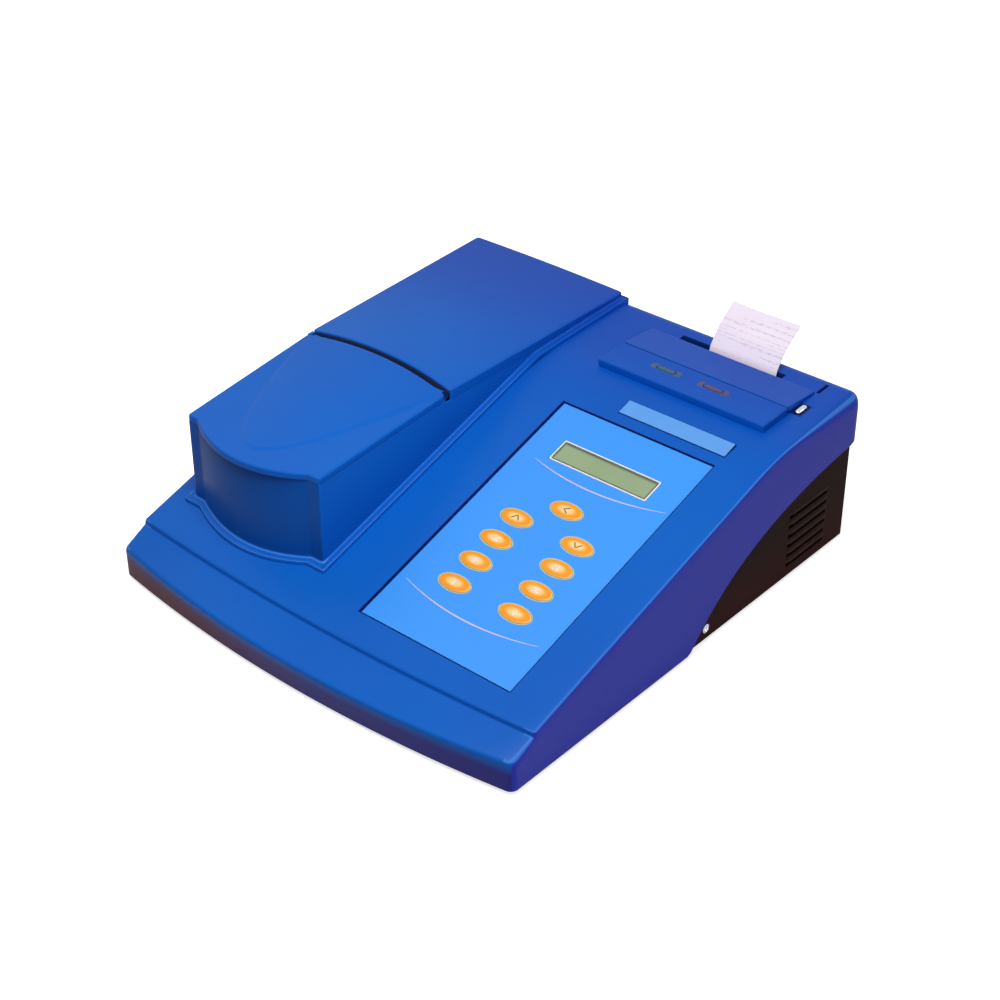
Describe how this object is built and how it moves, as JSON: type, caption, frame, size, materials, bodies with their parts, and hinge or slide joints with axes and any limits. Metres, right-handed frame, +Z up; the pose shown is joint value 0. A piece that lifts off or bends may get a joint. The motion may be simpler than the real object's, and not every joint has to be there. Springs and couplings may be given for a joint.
{
  "type": "digital turbidity meter",
  "caption": "Wedge-shaped bench turbidity meter with a hinged lid over its sample well, a sloping keypad panel with a small display, and a strip printer under a hinged door.",
  "frame": {"origin": "middle of the bounding box seen from above, at the level of the undersides of the feet", "axes": "+X to the right of someone at the keypad, +Y to the back of the instrument, +Z up"},
  "size_m": [0.323, 0.3642, 0.1327],
  "materials": {
    "case_blue": "semi-gloss moulded blue with a fine grain",
    "overlay_blue": "satin printed film",
    "strip_blue": "satin printed film, bare",
    "key_orange": "satin orange key caps",
    "button_blue": "matte",
    "white_plastic": "smooth white",
    "display_green": "grey-green display pane",
    "black_steel": "fine-textured black paint on folded sheet",
    "black_plastic": "matte",
    "black_rubber": "matte",
    "bright_chrome": "polished",
    "plain_steel": "plain",
    "bare_aluminium": "turned",
    "clear_glass": "clear",
    "board_green": "coated circuit board",
    "coil_brown": "taped winding",
    "paper": "thin uncoated paper, bare"
  },
  "bodies": {
    "case": {"top_cover": "case_blue", "sample_housing": "case_blue", "lid_pin_left": "plain_steel", "lid_pin_right": "plain_steel", "membrane_overlay": "overlay_blue", "display_bezel": "white_plastic", "display_window": "display_green", "display_module": "black_plastic", "keypad_board": "board_green", "name_strip": "strip_blue", "printer_pin_left": "plain_steel", "printer_pin_right": "plain_steel", "printer_bezel": "case_blue", "paper_tub": "black_plastic", "paper_strip": "paper", "print_head_frame": "black_plastic", "base_chassis": "black_steel", "side_screw_left": "bright_chrome", "side_screw_right": "bright_chrome", "foot_front_left": "black_rubber", "foot_front_right": "black_rubber", "foot_rear_left": "black_rubber", "foot_rear_right": "black_rubber", "power_inlet": "black_plastic", "power_switch_body": "black_plastic", "fuse_holder": "black_plastic", "serial_port": "plain_steel", "well_plate": "black_plastic", "cell_holder": "black_plastic", "lamp_housing": "bare_aluminium", "lamp_base": "plain_steel", "lamp_bulb": "clear_glass", "lamp_lens": "clear_glass", "detector_through": "bare_aluminium", "detector_scatter": "bare_aluminium", "main_board": "board_green", "transformer_core": "plain_steel", "transformer_coil": "coil_brown"},
    "sample_lid": {"sample_lid": "case_blue", "lid_gasket": "black_rubber"},
    "printer_door": {"printer_door": "case_blue"},
    "printer_button_left": {"printer_button_left": "button_blue"},
    "printer_button_right": {"printer_button_right": "button_blue"},
    "printer_latch": {"printer_latch": "bright_chrome"},
    "paper_roll": {"paper_roll": "paper", "paper_spindle": "white_plastic"},
    "platen_roller": {"platen_roller": "black_rubber"},
    "power_rocker": {"power_rocker": "black_plastic"},
    "fuse_cap": {"fuse_cap": "black_plastic"},
    "key_left_1": {"key_left_1": "key_orange"},
    "key_left_2": {"key_left_2": "key_orange"},
    "key_left_3": {"key_left_3": "key_orange"},
    "key_left_4": {"key_left_4": "key_orange"},
    "key_right_1": {"key_right_1": "key_orange"},
    "key_right_2": {"key_right_2": "key_orange"},
    "key_right_3": {"key_right_3": "key_orange"},
    "key_right_4": {"key_right_4": "key_orange"},
    "key_top": {"key_top": "key_orange"}
  },
  "joints": [
    {"name": "lid_hinge", "type": "hinge", "parent": "case", "child": "sample_lid", "pos_m": [0, -0.00458, 0.11208], "axis": [-1, 0, 0], "range_deg": [0, 95]},
    {"name": "printer_door_hinge", "type": "hinge", "parent": "case", "child": "printer_door", "pos_m": [0, 0.12443, 0.11051], "axis": [1, 0, 0], "range_deg": [0, 95]},
    {"name": "key_left_1_press", "type": "slide", "parent": "case", "child": "key_left_1", "axis": [0, 0.2975, -0.9547], "range_m": [0, 0.0006], "stiffness_N_per_m": 400, "springref_m": -0.0005},
    {"name": "key_left_2_press", "type": "slide", "parent": "case", "child": "key_left_2", "axis": [0, 0.2975, -0.9547], "range_m": [0, 0.0006], "stiffness_N_per_m": 400, "springref_m": -0.0005},
    {"name": "key_left_3_press", "type": "slide", "parent": "case", "child": "key_left_3", "axis": [0, 0.2975, -0.9547], "range_m": [0, 0.0006], "stiffness_N_per_m": 400, "springref_m": -0.0005},
    {"name": "key_left_4_press", "type": "slide", "parent": "case", "child": "key_left_4", "axis": [0, 0.2975, -0.9547], "range_m": [0, 0.0006], "stiffness_N_per_m": 400, "springref_m": -0.0005},
    {"name": "key_right_1_press", "type": "slide", "parent": "case", "child": "key_right_1", "axis": [0, 0.2975, -0.9547], "range_m": [0, 0.0006], "stiffness_N_per_m": 400, "springref_m": -0.0005},
    {"name": "key_right_2_press", "type": "slide", "parent": "case", "child": "key_right_2", "axis": [0, 0.2975, -0.9547], "range_m": [0, 0.0006], "stiffness_N_per_m": 400, "springref_m": -0.0005},
    {"name": "key_right_3_press", "type": "slide", "parent": "case", "child": "key_right_3", "axis": [0, 0.2975, -0.9547], "range_m": [0, 0.0006], "stiffness_N_per_m": 400, "springref_m": -0.0005},
    {"name": "key_right_4_press", "type": "slide", "parent": "case", "child": "key_right_4", "axis": [0, 0.2975, -0.9547], "range_m": [0, 0.0006], "stiffness_N_per_m": 400, "springref_m": -0.0005},
    {"name": "key_top_press", "type": "slide", "parent": "case", "child": "key_top", "axis": [0, 0.2975, -0.9547], "range_m": [0, 0.0006], "stiffness_N_per_m": 400, "springref_m": -0.0005},
    {"name": "printer_button_left_press", "type": "slide", "parent": "case", "child": "printer_button_left", "axis": [0, 0.0436, -0.999], "range_m": [0, 0.0008], "stiffness_N_per_m": 300, "springref_m": -0.0005},
    {"name": "printer_button_right_press", "type": "slide", "parent": "case", "child": "printer_button_right", "axis": [0, 0.0436, -0.999], "range_m": [0, 0.0008], "stiffness_N_per_m": 300, "springref_m": -0.0005},
    {"name": "latch_press", "type": "slide", "parent": "case", "child": "printer_latch", "axis": [0, 0.0436, -0.999], "range_m": [0, 0.0012], "stiffness_N_per_m": 500, "springref_m": -0.0005},
    {"name": "platen_spin", "type": "hinge", "parent": "case", "child": "platen_roller", "pos_m": [0, 0.15067, 0.08635], "axis": [1, 0, 0], "continuous": true},
    {"name": "roll_spin", "type": "hinge", "parent": "case", "child": "paper_roll", "pos_m": [0, 0.12192, 0.08609], "axis": [1, 0, 0], "continuous": true},
    {"name": "power_rocker_tilt", "type": "hinge", "parent": "case", "child": "power_rocker", "pos_m": [0.084, 0.16867, 0.0313], "axis": [1, 0, 0], "range_deg": [0, 16]},
    {"name": "fuse_cap_turn", "type": "hinge", "parent": "case", "child": "fuse_cap", "pos_m": [0.06, 0.16797, 0.0313], "axis": [0, 1, 0], "range_deg": [0, 60]}
  ],
  "couplings": [
    {"joint": "platen_spin", "follows": "roll_spin", "ratio": 2.7778}
  ]
}
